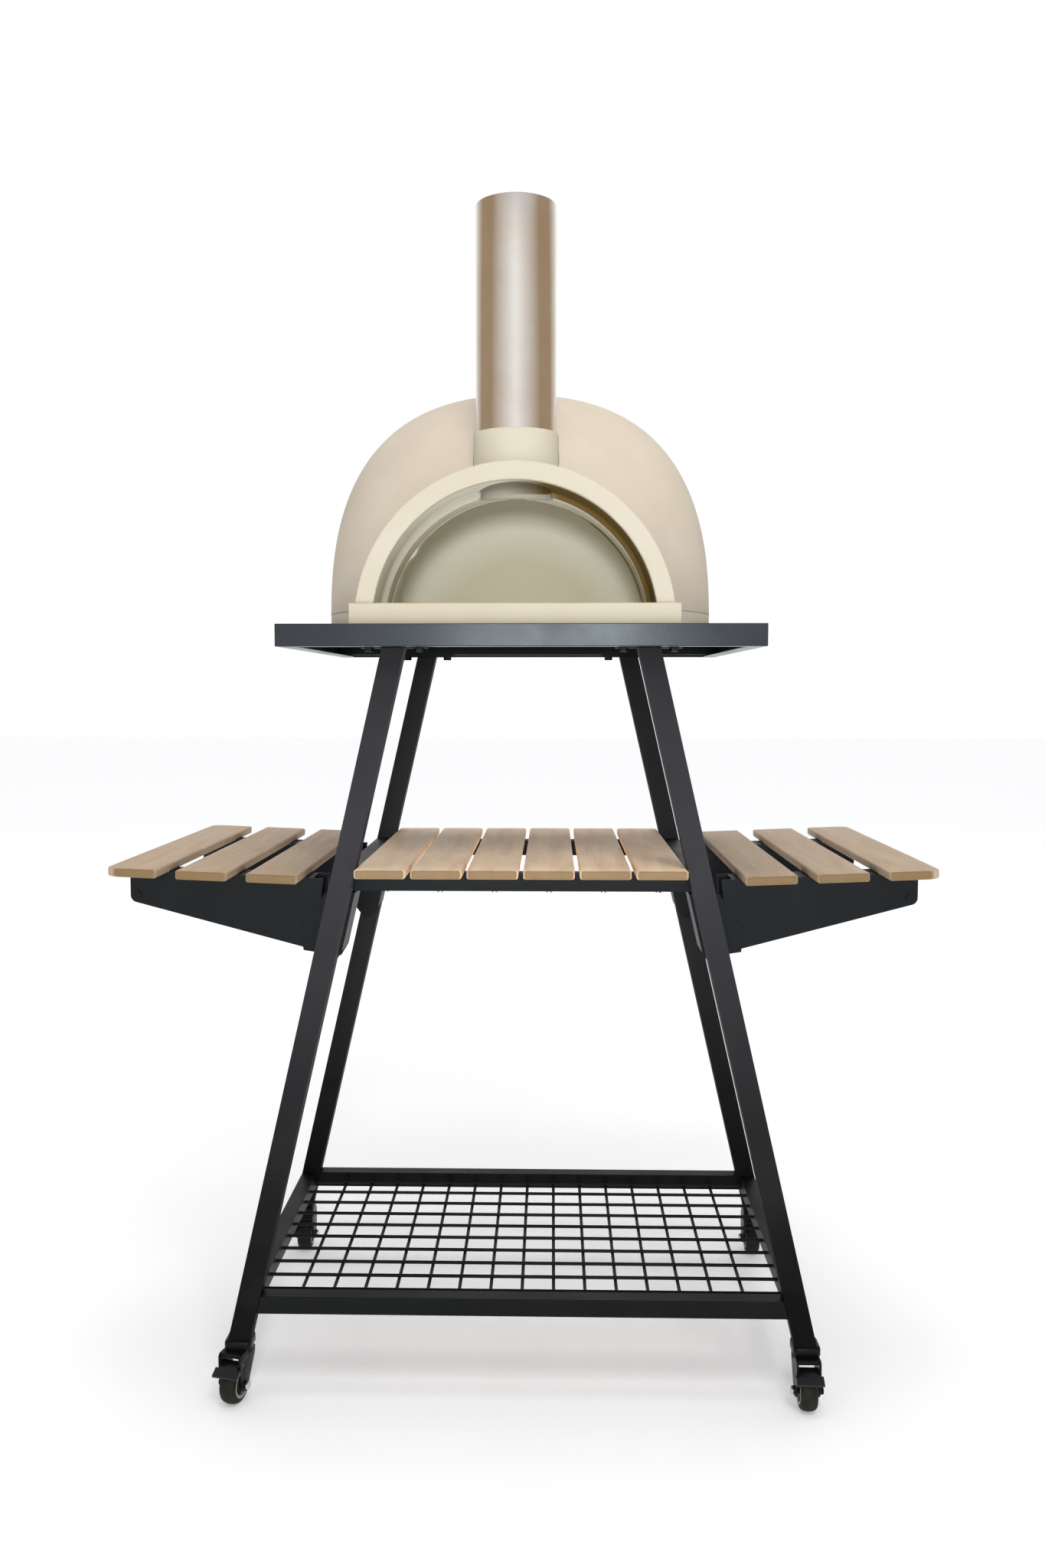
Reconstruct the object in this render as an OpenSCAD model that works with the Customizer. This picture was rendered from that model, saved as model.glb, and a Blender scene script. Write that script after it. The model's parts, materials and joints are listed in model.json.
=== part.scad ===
// Wood fired pizza oven on a splay-legged trolley with two folding side shelves.
// Millimetres, +Z up, the oven mouth faces -Y, the origin is on the floor under the middle.

/* [Deck] */
// Width of the deck that carries the oven
deck_w = 648; // [600:1:720]
// Depth of the deck from front to back
deck_d = 570; // [560:1:620]
// Height of the deck's top face above the floor
deck_top = 1081; // [1075:1:1095]
// Height of the deck's rim
deck_rim = 30; // [30:1:36]

/* [Legs] */
// Outer size of the square leg tube
leg_tube = 30; // [28:1:32]
// Wall of the leg tube
leg_wall = 1.5; // [1.2:0.1:2]
// Sideways splay of each leg in degrees
leg_splay = 13; // [12.5:0.1:13.2]
// Half the spacing of the leg centres where they meet the deck
leg_top_x = 171.7; // [165:0.1:180]
// Distance of the leg centres in front of and behind the middle
leg_y = 236; // [236:1:238]

/* [Shelves] */
// Outer size of the square shelf rails
rail_tube = 25; // [24:1:25]
// Height of the underside of the lower shelf rails
lower_rail_z = 124.5; // [120:0.5:135]
// Height of the top of the middle shelf rails
mid_rail_top = 740.5; // [739:0.5:741]
// Length of the middle shelf slats
mid_slat_len = 548; // [530:1:560]
// Length of the side shelf slats
wing_slat_len = 566; // [560:1:570]
// Width of every slat
slat_w = 69; // [66:0.5:70]
// Thickness of every slat
slat_t = 12; // [11:0.5:14]
// Gap between the middle slats
mid_slat_gap = 7; // [5:0.5:7]
// Pitch of the side shelf slats
wing_slat_pitch = 95; // [90:1:98]
// Upward tilt of an opened side shelf in degrees
wing_tilt = 2.26; // [1.5:0.01:3]
// Spacing of the grid rods in the lower shelf
mesh_pitch = 45.2; // [44:0.1:46]
// Diameter of the grid rods
mesh_rod = 5; // [4:0.5:6]

/* [Oven] */
// Sideways place of the oven on the deck
oven_x = -8; // [-10:1:0]
// Half the width of the outer dome
dome_a = 289; // [280:1:292]
// Half the depth of the outer dome
dome_b = 251; // [245:1:254]
// Height of the outer dome above its spring line
dome_h = 347; // [340:1:355]
// Thickness of the outer render shell
render_t = 12; // [10:1:14]
// Thickness of the insulation blanket
blanket_t = 20; // [18:1:24]
// Thickness of the refractory inner dome
refractory_t = 40; // [36:1:44]
// Outer radius of the front arch
arch_r = 215; // [213:1:217]
// Inner radius of the front arch
arch_in_r = 190; // [187:1:192]
// Outer diameter of the flue pipe
flue_d = 110; // [108:1:111]
// Height of the flue pipe's open top
flue_top = 1645; // [1600:5:1700]
// Height of the arch collar that holds the flue
collar_top = 1342; // [1335:1:1346]

/* [Casters] */
// Height of the leg's foot plate above the floor
caster_h = 79; // [79:1:82]
// Diameter of the caster wheels
wheel_d = 54; // [52:1:56]
// Width of the caster wheels
wheel_w = 24; // [22:1:24]
// Distance of the wheel axle behind the swivel axis
caster_trail = 18; // [17:1:19]
// Outward turn of the front left caster as it stands, in degrees
front_left_turn = 15; // [0:1:30]

/* [Folding brackets] */
// Distance of the side shelf's pivot pin from the middle
pivot_x = 285; // [284:0.5:286]
// Height of the side shelf's pivot pin
pivot_z = 658; // [657:0.5:659]
// Outside width of the fixed hinge channel
channel_w = 62; // [61:0.5:63]
// Sheet thickness of the channels and arms
sheet_t = 2.5; // [2:0.1:2.5]
// Distance from the middle to the tip of a folding arm
arm_tip_x = 544; // [530:1:550]
// Turn of the latch lever between open and locked, in degrees
latch_turn = 14; // [12:1:14]

/* [Hidden] */
$fn = 48;

// The four corners as [x side, y side], with -1 for left and front
FL = [-1, -1];
FR = [1, -1];
RL = [-1, 1];
RR = [1, 1];
corners = [FL, FR, RL, RR];

// Colours
cream = [0.86, 0.82, 0.75];
pale_cream = [0.88, 0.84, 0.72];
firebrick = [0.66, 0.65, 0.55];
fibre_white = [0.93, 0.93, 0.90];
polished = [0.72, 0.71, 0.69];
charcoal = [0.22, 0.22, 0.24];
black = [0.10, 0.10, 0.10];
wood = [0.75, 0.62, 0.47];
zinc = [0.62, 0.62, 0.63];

// Deck
sheet = 2;
deck_under = deck_top - deck_rim;
deck_lip = 22;
plate_t = 4;
frame_top = deck_top - sheet;
frame_bottom = frame_top - rail_tube;
leg_head_z = frame_bottom - plate_t;
deck_bolt_r = 4;

// Legs
leg_half = leg_tube / 2 / cos(leg_splay);
function leg_x(z) = leg_top_x + (deck_under - z) * tan(leg_splay);
rail_wall = 1.5;
cap_t = 4;

// Middle and lower shelves
mid_rail_z = mid_rail_top - rail_tube;
mid_rail_x = leg_x(mid_rail_z + rail_tube / 2);
mid_cross_y = 200;
rail_end_y = leg_y - leg_tube / 2;
mid_slats_w = 6 * slat_w + 5 * mid_slat_gap;
lower_rail_top = lower_rail_z + rail_tube;
lower_rail_x = leg_x(lower_rail_z + rail_tube / 2);
lower_inner_y = leg_y - rail_tube / 2;
grid_z = lower_rail_z + 8.5;
grid_rods = 15;
grid_cross_rods = 10;
grid_first_y = -197;
grid_turn_up = 13;
screw_r = 2;
screw_head_r = 4;

// Oven
slab_t = 26;
slab_top = deck_top + slab_t;
sill_top = deck_top + 28;
slab_floor = 6;
hearth_board = 8;
hearth_wall = 46;
tile_gap = 0.6;
dome_y = 20;
dome_spring = deck_top + 4;
dome_power = 2.6;
dome_sides = 48;
dome_rings = 11;
arch_front_y = -262;
arch_step_y = -190;
arch_back_y = -135;
neck_back_y = -60;
mouth_r = 182;
sill_w = 441;
sill_front_y = -268;
sill_back_y = -200;
flue_y = -190;
flue_wall = 1.5;
collar_r = 58.5;
flue_seat_z = deck_top + 223;
flue_hole_r = 48;
seal_t = 3;
slab_hole = [-229, 12];

// Folding brackets, given for the right side
channel_y = rail_end_y - channel_w / 2;
arm_w = channel_w - 2 * sheet_t - 1;
pin_r = 4;
running = 0.05;
latch_pin = [266, pivot_z + 32];
latch_pivot = [306, pivot_z + 33];
latch_r = 3;
latch_t = 6;
slat_base = [334, mid_rail_top - 5];
function under_z(x) = slat_base[1] + (x - slat_base[0]) * tan(wing_tilt);
arm_root_r = 24.6;
arm_slope = 15;
arm_tip_z = pivot_z + 43.8;
arm_bolt = [arm_tip_x - 11, arm_tip_z + 8];
arm_corner = 10;
channel_top_z = mid_rail_z - 1.5;
web_offset = leg_tube / 2 + 3.5;
bracket_bolt_zs = [pivot_z - 23, pivot_z + 27];
web_foot_z = pivot_z - 26;
bracket_bolt_offset = 9.5;

// Casters
stem_r = 5;
axle_r = 4;
wheel_r = wheel_d / 2;
fork_in = wheel_w / 2 + 2;
fork_t = 3;
fork_top = caster_h - 5;
fork_plate_t = 6;
caster_x = leg_x(caster_h);
brake_pivot = [caster_trail + 6, 58];
brake_pin_r = 2.5;
toe_w = 38;

function turn_of(c) = c == FL ? front_left_turn : 0;

// ---- shared shapes ----

// Plate with rounded corners, thickness along +Z, low corner at the origin
module rounded_plate(w, l, t, r_low = 3, r_high = 3) {
    linear_extrude(t) {
        translate([r_low, 0])
            square([w - r_low - r_high, l]);
        translate([0, r_low])
            square([r_low, l - 2 * r_low]);
        translate([w - r_high, r_high])
            square([r_high, l - 2 * r_high]);
        for (y = [r_low, l - r_low])
            translate([r_low, y])
                circle(r_low);
        for (y = [r_high, l - r_high])
            translate([w - r_high, y])
                circle(r_high);
    }
}

// Outline in the X-Z plane, extruded along Y about its middle
module side_plate(y, t) {
    translate([0, y + t / 2, 0])
        rotate([90, 0, 0])
            linear_extrude(t)
                children();
}

module cylinder_y(x, y, z, r, l) {
    translate([x, y + l / 2, z])
        rotate([90, 0, 0])
            cylinder(r = r, h = l);
}

module cylinder_x(x, y, z, r, l) {
    translate([x - l / 2, y, z])
        rotate([0, 90, 0])
            cylinder(r = r, h = l);
}

// Points along an arc from angle a0 to a1 around c
function arc(c, r, a0, a1, n = 8) = [for (i = [0 : n]) let (a = a0 + (a1 - a0) * i / n)
    c + r * [cos(a), sin(a)]];

// Moves right-hand, front pieces to the named corner
module at_corner(c) {
    mirror([c[0] < 0 ? 1 : 0, 0, 0])
        mirror([0, c[1] > 0 ? 1 : 0, 0])
            children();
}

// ---- oven ----

// Closed solid of the dome, shrunk by t all round
module dome_solid(t) {
    a = dome_a - t;
    b = dome_b - t;
    h = dome_h - t;
    p = 2 / dome_power;
    levels = concat([[1, deck_top - 10]], [for (i = [0 : dome_rings])
        let (u = 90 * i / (dome_rings + 1)) [pow(cos(u), p), dome_spring + h * pow(sin(u), p)]]);
    n = dome_sides;
    m = len(levels);
    points = concat([for (l = levels, i = [0 : n - 1])
        [oven_x + a * l[0] * cos(360 * i / n), dome_y + b * l[0] * sin(360 * i / n), l[1]]],
        [[oven_x, dome_y, dome_spring + h]]);
    sides = [for (k = [0 : m - 2], i = [0 : n - 1]) let (j = (i + 1) % n)
        [k * n + i, (k + 1) * n + i, (k + 1) * n + j, k * n + j]];
    cap = [for (i = [0 : n - 1]) [(m - 1) * n + i, m * n, (m - 1) * n + (i + 1) % n]];
    polyhedron(points, concat([[for (i = [0 : n - 1]) i]], sides, cap), convexity = 4);
}

function ellipse(a, b, n = 72) = [for (i = [0 : n - 1]) [a * cos(360 * i / n), b * sin(360 * i / n)]];

// Flat elliptical disc under the dome, from height z0 to z1
module oven_disc(t, z0, z1) {
    translate([oven_x, dome_y, z0])
        linear_extrude(z1 - z0)
            polygon(ellipse(dome_a - t, dome_b - t));
}

module arch_barrel(r, y0, y1) {
    cylinder_y(oven_x, (y0 + y1) / 2, deck_top, r, y1 - y0);
}

module above(z) {
    intersection() {
        children();
        translate([-600, -600, z])
            cube([1200, 1200, 900]);
    }
}

// Room for the arch and the flue in a dome shell
module arch_room(gap) {
    arch_barrel(arch_r + gap, -400, neck_back_y);
    translate([oven_x, flue_y, deck_top + 114])
        cylinder(r = collar_r + gap, h = collar_top + gap - deck_top - 114);
    translate([oven_x, flue_y, deck_top + 114])
        cylinder(r = flue_d / 2 + 0.5, h = 300);
}

module dome_layer(t_out, t_in) {
    above(slab_top)
        difference() {
            dome_solid(t_out);
            dome_solid(t_in);
            arch_room(0.3);
        }
}

module base_slab() {
    color(cream)
        difference() {
            oven_disc(0, deck_top, slab_top);
            oven_disc(hearth_wall, deck_top + slab_floor, slab_top + 1);
            translate([oven_x - 400, -400, deck_top - 1])
                cube([800, 400 + sill_back_y + 20, slab_t + 2]);
            cylinder_y(oven_x + slab_hole[0], -140, deck_top + slab_hole[1], 4, 60);
        }
}

module hearth_insulation() {
    color(fibre_white)
        difference() {
            oven_disc(hearth_wall + 0.5, deck_top + slab_floor, deck_top + slab_floor + hearth_board);
            translate([oven_x - 400, -400, deck_top])
                cube([800, 400 + sill_back_y + 20.5, slab_t]);
        }
}

module hearth_tiles() {
    tile_bottom = deck_top + slab_floor + hearth_board;
    color(firebrick)
        difference() {
            oven_disc(hearth_wall + 0.5, tile_bottom, slab_top);
            translate([oven_x - 400, -400, deck_top])
                cube([800, 400 + sill_back_y + 20.5, slab_t + 4]);
            translate([oven_x - tile_gap / 2, -300, tile_bottom - 1])
                cube([tile_gap, 600, 30]);
            translate([oven_x - 300, dome_y - tile_gap / 2, tile_bottom - 1])
                cube([600, tile_gap, 30]);
        }
}

module inner_dome() {
    t = render_t + blanket_t + 0.6;
    color(firebrick)
        above(slab_top)
            difference() {
                union() {
                    difference() {
                        dome_solid(t);
                        arch_room(0.3);
                    }
                    intersection() {
                        arch_barrel(arch_r, arch_back_y, neck_back_y);
                        dome_solid(t);
                    }
                }
                dome_solid(t + refractory_t);
                arch_barrel(mouth_r, -400, 0);
                translate([oven_x, flue_y, deck_top + 114])
                    cylinder(r = collar_r + 0.3, h = collar_top + 0.3 - deck_top - 114);
            }
}

module insulation_blanket() {
    color(fibre_white)
        dome_layer(render_t + 0.3, render_t + blanket_t + 0.3);
}

module outer_dome() {
    color(cream)
        dome_layer(0, render_t);
}

module front_arch() {
    color(pale_cream)
        above(slab_top)
            difference() {
                union() {
                    difference() {
                        arch_barrel(arch_r, arch_front_y, arch_back_y - 0.3);
                        translate([-400, -400, deck_top - 300])
                            cube([800, 800, 300]);
                    }
                    translate([oven_x, flue_y, deck_top + 100])
                        cylinder(r = collar_r, h = collar_top - deck_top - 100);
                }
                arch_barrel(arch_in_r, -400, arch_step_y);
                arch_barrel(mouth_r, arch_step_y - 1, 0);
                translate([oven_x, flue_y, deck_top + 50])
                    cylinder(r = flue_hole_r, h = 400);
                translate([oven_x, flue_y, flue_seat_z - seal_t])
                    cylinder(r = flue_d / 2 + 0.3, h = 100);
            }
}

// The sill stands up in front of the arch and lies lower under the arch's two feet
module sill() {
    front_foot = sqrt(pow(arch_in_r, 2) - pow(slab_t, 2)) - 0.3;
    back_foot = sqrt(pow(mouth_r, 2) - pow(slab_t, 2)) - 0.3;
    color(pale_cream)
        difference() {
            translate([oven_x - sill_w / 2, sill_front_y, deck_top])
                cube([sill_w, sill_back_y - sill_front_y + 20, sill_top - deck_top]);
            for (s = [-1, 1], foot = [[front_foot, arch_front_y - 0.3], [back_foot, arch_step_y - 0.3]])
                translate([oven_x + s * (foot[0] + 50) - 50, foot[1], slab_top])
                    cube([100, 200, 10]);
        }
}

module flue_seal() {
    color(fibre_white)
        translate([oven_x, flue_y, flue_seat_z - seal_t])
            difference() {
                cylinder(r = flue_d / 2, h = seal_t);
                translate([0, 0, -1])
                    cylinder(r = flue_hole_r + 1, h = seal_t + 2);
            }
}

module flue_pipe() {
    color(polished)
        translate([oven_x, flue_y, flue_seat_z])
            difference() {
                cylinder(r = flue_d / 2, h = flue_top - flue_seat_z);
                translate([0, 0, -1])
                    cylinder(r = flue_d / 2 - flue_wall, h = flue_top - flue_seat_z + 2);
            }
}

// ---- deck and legs ----

module deck_tray() {
    inner_w = deck_w - 2 * sheet;
    inner_d = deck_d - 2 * sheet;
    color(charcoal)
        difference() {
            translate([-deck_w / 2, -deck_d / 2, deck_under])
                cube([deck_w, deck_d, deck_rim]);
            translate([-inner_w / 2, -inner_d / 2, deck_under + sheet])
                cube([inner_w, inner_d, deck_rim - 2 * sheet]);
            translate([-deck_w / 2 + deck_lip, -deck_d / 2 + deck_lip, deck_under - 1])
                cube([deck_w - 2 * deck_lip, deck_d - 2 * deck_lip, sheet + 2]);
        }
}

module deck_frame() {
    bar = deck_w - 2 * sheet - 2;
    color(black)
        for (s = [-1, 1])
            difference() {
                union() {
                    translate([-bar / 2, s * leg_y - rail_tube / 2, frame_bottom])
                        cube([bar, rail_tube, rail_tube]);
                    for (x = [-1, 1])
                        translate([x * leg_top_x - 45, s * leg_y - rail_tube / 2, leg_head_z])
                            cube([90, rail_tube, plate_t]);
                }
                translate([-bar / 2 - 1, s * leg_y - rail_tube / 2 + rail_wall, frame_bottom + rail_wall])
                    cube([bar + 2, rail_tube - 2 * rail_wall, rail_tube - 2 * rail_wall]);
                for (x = [-1, 1], d = [-34, 34])
                    translate([x * leg_top_x + d, s * leg_y, leg_head_z - 1])
                        cylinder(r = deck_bolt_r, h = rail_tube + plate_t + 2);
            }
}

module deck_bolts() {
    color(zinc)
        for (s = [-1, 1], x = [-1, 1], d = [-34, 34])
            translate([x * leg_top_x + d, s * leg_y, 0]) {
                translate([0, 0, leg_head_z - 5])
                    cylinder(r = 6.5, h = 5, $fn = 6);
                translate([0, 0, leg_head_z - 1])
                    cylinder(r = deck_bolt_r, h = frame_top - leg_head_z);
            }
}

module leg(c) {
    long = (leg_head_z - caster_h) / cos(leg_splay) + 80;
    inner = leg_tube - 2 * leg_wall;
    color(charcoal)
        at_corner(c)
            difference() {
                intersection() {
                    translate([leg_x(caster_h), -leg_y, caster_h])
                        rotate([0, -leg_splay, 0])
                            translate([-leg_tube / 2, -leg_tube / 2, -40])
                                difference() {
                                    cube([leg_tube, leg_tube, long]);
                                    translate([leg_wall, leg_wall, -1])
                                        cube([inner, inner, long + 2]);
                                }
                    translate([100, -300, caster_h + cap_t])
                        cube([400, 100, leg_head_z - caster_h - cap_t]);
                }
                for (z = bracket_bolt_zs)
                    cylinder_y(leg_x(z) - bracket_bolt_offset / cos(leg_splay), -rail_end_y, z, latch_r, 8);
            }
}

// ---- middle shelf ----

module side_rail(s, x, z) {
    color(charcoal)
        translate([s * x - rail_tube / 2, -rail_end_y, z])
            difference() {
                cube([rail_tube, 2 * rail_end_y, rail_tube]);
                translate([rail_wall, -1, rail_wall])
                    cube([rail_tube - 2 * rail_wall, 2 * rail_end_y + 2, rail_tube - 2 * rail_wall]);
            }
}

module mid_cross_rail(s) {
    l = 2 * mid_rail_x - rail_tube;
    color(charcoal)
        translate([-l / 2, s * mid_cross_y - rail_tube / 2, mid_rail_z])
            difference() {
                cube([l, rail_tube, rail_tube]);
                translate([-1, rail_wall, rail_wall])
                    cube([l + 2, rail_tube - 2 * rail_wall, rail_tube - 2 * rail_wall]);
                for (i = [0 : 5])
                    translate([mid_slat_x(i) + l / 2, rail_tube / 2, -1])
                        cylinder(r = screw_r, h = rail_tube + 2);
            }
}

function mid_slat_x(i) = (i - 2.5) * (slat_w + mid_slat_gap);

module mid_slats() {
    color(wood)
        for (i = [0 : 5])
            translate([mid_slat_x(i) - slat_w / 2, -mid_slat_len / 2, mid_rail_top])
                difference() {
                    rounded_plate(slat_w, mid_slat_len, slat_t);
                    for (s = [-1, 1])
                        translate([slat_w / 2, mid_slat_len / 2 + s * mid_cross_y, -1])
                            cylinder(r = screw_r, h = 9);
                }
}

module mid_screws() {
    color(zinc)
        for (i = [0 : 5], s = [-1, 1])
            translate([mid_slat_x(i), s * mid_cross_y, 0]) {
                translate([0, 0, mid_rail_z - 3])
                    cylinder(r = screw_head_r, h = 3);
                translate([0, 0, mid_rail_z - 1])
                    cylinder(r = screw_r, h = rail_tube + 9);
            }
}

// ---- lower shelf ----

// Rail between two splayed legs, its ends cut to the slope of the legs
module lower_cross_rail(s) {
    z0 = lower_rail_z;
    z1 = lower_rail_top;
    w = rail_wall;
    color(charcoal)
        difference() {
            side_plate(s * leg_y, rail_tube)
                polygon([[-leg_x(z0) + leg_half, z0], [leg_x(z0) - leg_half, z0],
                    [leg_x(z1) - leg_half, z1], [-leg_x(z1) + leg_half, z1]]);
            translate([-400, s * leg_y - rail_tube / 2 + w, z0 + w])
                cube([800, rail_tube - 2 * w, rail_tube - 2 * w]);
        }
}

module shelf_grid() {
    reach = lower_rail_x - rail_tube / 2;
    end_y = lower_inner_y - mesh_rod / 2;
    color(black) {
        for (i = [0 : grid_rods - 1])
            translate([(i - (grid_rods - 1) / 2) * mesh_pitch, 0, grid_z]) {
                cylinder_y(0, 0, 0, mesh_rod / 2, 2 * end_y);
                for (s = [-1, 1])
                    translate([0, s * end_y, -mesh_rod / 2])
                        cylinder(r = mesh_rod / 2, h = grid_turn_up + mesh_rod / 2);
            }
        for (i = [0 : grid_cross_rods - 1])
            cylinder_x(0, grid_first_y + i * mesh_pitch, grid_z + mesh_rod - 0.6, mesh_rod / 2, 2 * reach);
    }
}

// ---- folding brackets, drawn front right and mirrored ----

function channel_edge(z, d) = leg_x(z) - d / cos(leg_splay);

module channel_cheek() {
    polygon([[channel_edge(channel_top_z, web_offset), channel_top_z],
        [channel_edge(web_foot_z, web_offset), web_foot_z],
        [260, pivot_z - 43.3],
        [272, pivot_z - 46],
        [287, pivot_z - 27],
        [303, pivot_z - 24.5],
        [306, pivot_z + 5],
        [272, channel_top_z]]);
}

module channel_web() {
    polygon([[channel_edge(channel_top_z, web_offset), channel_top_z],
        [channel_edge(web_foot_z, web_offset), web_foot_z],
        [channel_edge(web_foot_z, web_offset - sheet_t), web_foot_z],
        [channel_edge(channel_top_z, web_offset - sheet_t), channel_top_z]]);
}

module channel(c) {
    cheek_y = channel_w / 2 - sheet_t / 2;
    color(black)
        at_corner(c)
            difference() {
                union() {
                    side_plate(-channel_y, channel_w)
                        channel_web();
                    for (s = [-1, 1])
                        side_plate(-channel_y + s * cheek_y, sheet_t)
                            channel_cheek();
                }
                cylinder_y(pivot_x, -channel_y, pivot_z, pin_r, channel_w + 2);
                cylinder_y(latch_pin[0], -channel_y, latch_pin[1], latch_r, channel_w + 2);
                for (z = bracket_bolt_zs)
                    cylinder_y(channel_edge(z, bracket_bolt_offset), -rail_end_y, z, latch_r, 10);
            }
}

module hinge_pins() {
    color(zinc)
        for (c = corners)
            at_corner(c)
                cylinder_y(pivot_x, -channel_y, pivot_z, pin_r, channel_w);
}

module latch_pins() {
    color(zinc)
        for (c = corners)
            at_corner(c)
                cylinder_y(latch_pin[0], -channel_y, latch_pin[1], latch_r, channel_w);
}

module bracket_bolts() {
    color(zinc)
        for (c = corners, z = bracket_bolt_zs)
            at_corner(c) {
                x = channel_edge(z, bracket_bolt_offset);
                cylinder_y(x, -rail_end_y + sheet_t + 1.4, z, 5, 2.8);
                cylinder_y(x, -rail_end_y - 4.5, z, latch_r, 2 * sheet_t + 10);
            }
}

module arm_outline() {
    top_x = 275;
    p = [pivot_x, pivot_z];
    foot = [arm_tip_x - arm_corner, arm_tip_z + arm_corner - 2.6];
    polygon(concat([[top_x, under_z(top_x)]],
        [[arm_tip_x, under_z(arm_tip_x)]],
        arc(foot, arm_corner, 0, arm_slope - 90, 6),
        arc(p, arm_root_r, arm_slope - 90, -260, 20)));
}

module arm(c) {
    flange_y = arm_w / 2 - sheet_t / 2;
    web_x = 290;
    color(black)
        at_corner(c)
            difference() {
                union() {
                    for (s = [-1, 1])
                        side_plate(-channel_y + s * flange_y, sheet_t)
                            arm_outline();
                    side_plate(-channel_y, arm_w)
                        polygon([[web_x, under_z(web_x)], [arm_tip_x, under_z(arm_tip_x)],
                            [arm_tip_x, under_z(arm_tip_x) - sheet_t], [web_x, under_z(web_x) - sheet_t]]);
                }
                cylinder_y(pivot_x, -channel_y, pivot_z, pin_r + running, arm_w + 2);
                cylinder_y(latch_pivot[0], -channel_y, latch_pivot[1], latch_r + running, arm_w + 2);
                for (k = [0 : 2])
                    wing_frame()
                        translate([k * wing_slat_pitch, -channel_y, -10])
                            cylinder(r = screw_r, h = 20);
                cylinder_y(arm_bolt[0], -channel_y, arm_bolt[1], latch_r, arm_w + 2);
            }
}

// Frame of the opened side shelf: origin under the inner slat, X outwards along the slats
module wing_frame() {
    translate([slat_base[0], 0, slat_base[1]])
        rotate([0, -wing_tilt, 0])
            children();
}

module wing_slats(s) {
    color(wood)
        mirror([s < 0 ? 1 : 0, 0, 0])
            wing_frame()
                for (k = [0 : 2])
                    translate([k * wing_slat_pitch - slat_w / 2, -wing_slat_len / 2, 0])
                        difference() {
                            rounded_plate(slat_w, wing_slat_len, slat_t, 3, k == 2 ? 20 : 3);
                            for (y = [-channel_y, channel_y])
                                translate([slat_w / 2, wing_slat_len / 2 + y, -1])
                                    cylinder(r = screw_r, h = 9);
                        }
}

// Screws into the slats, and one cross bolt near each arm's tip
module wing_screws(s) {
    color(zinc)
        mirror([s < 0 ? 1 : 0, 0, 0]) {
            for (y = [-channel_y, channel_y]) {
                cylinder_y(arm_bolt[0], y, arm_bolt[1], latch_r, arm_w);
                for (e = [-1, 1])
                    cylinder_y(arm_bolt[0], y + e * (arm_w / 2 + 1), arm_bolt[1], 4.5, 2);
            }
            wing_frame()
                for (k = [0 : 2], y = [-channel_y, channel_y])
                    translate([k * wing_slat_pitch, y, 0]) {
                        translate([0, 0, -sheet_t - 2.5])
                            cylinder(r = screw_head_r, h = 2.5);
                        translate([0, 0, -sheet_t - 1])
                            cylinder(r = screw_r, h = sheet_t + 9);
                    }
        }
}

// Latch lever in its locked place; it is drawn open, turned back by latch_turn
module latch_outline() {
    m = latch_pivot;
    polygon(concat([[m[0] - 6, m[1] + 9], [258, m[1] + 11.5], [256, m[1] + 9.5], [256, m[1] - 6],
        [258, m[1] - 7], [262.2, m[1] - 7], [262.2, m[1] + 2.7], [m[0] - 8, m[1] + 2.7]],
        arc(m, 8, 200, 250, 4),
        [[m[0] + 44, m[1] - 17], [m[0] + 47, m[1] - 13], [m[0] + 45, m[1] - 8]],
        arc(m, 8, 60, 90, 3)));
}

module latch(c) {
    m = latch_pivot;
    color(zinc)
        at_corner(c)
            translate([m[0], 0, m[1]])
                rotate([0, latch_turn, 0])
                    translate([-m[0], 0, -m[1]]) {
                        side_plate(-channel_y, latch_t)
                            latch_outline();
                        cylinder_y(m[0], -channel_y, m[1], latch_r, arm_w);
                        side_plate(-channel_y, 24)
                            polygon([[m[0] + 38, m[1] - 15], [m[0] + 44, m[1] - 17],
                                [m[0] + 47, m[1] - 13], [m[0] + 40, m[1] - 11]]);
                    }
}

// ---- casters, drawn front right and mirrored ----

// Caster frame: X from the swivel axis towards the axle, Z up from the floor
module caster_frame(c) {
    at_corner(c)
        translate([caster_x, -leg_y, 0])
            rotate([0, 0, turn_of(c) - 90])
                children();
}

module caster_stems() {
    color(zinc)
        for (c = corners)
            at_corner(c)
                translate([caster_x, -leg_y, 0]) {
                    translate([0, 0, caster_h])
                        translate([-leg_half, -leg_tube / 2, 0])
                            cube([2 * leg_half, leg_tube, cap_t]);
                    translate([0, 0, fork_top])
                        cylinder(r = 9, h = caster_h - fork_top);
                    translate([0, 0, fork_top - fork_plate_t - 4])
                        cylinder(r = stem_r, h = fork_plate_t + 40);
                    translate([0, 0, fork_top - fork_plate_t - 4])
                        cylinder(r = 8, h = 3.4);
                }
}

// Cheek of the fork in the plane of the wheel: along the trail, then up
module fork_cheek() {
    t = caster_trail;
    top = fork_top - 0.3;
    polygon(concat(arc([t, wheel_r], 9, 200, 340, 8),
        [[t + 13, 42], [t + 14, top - 14]],
        arc([t + 8, top - 6], 6, 0, 90, 4),
        [[-8, top], [-12, top - 3], [-11, top - 12]]));
}

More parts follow.
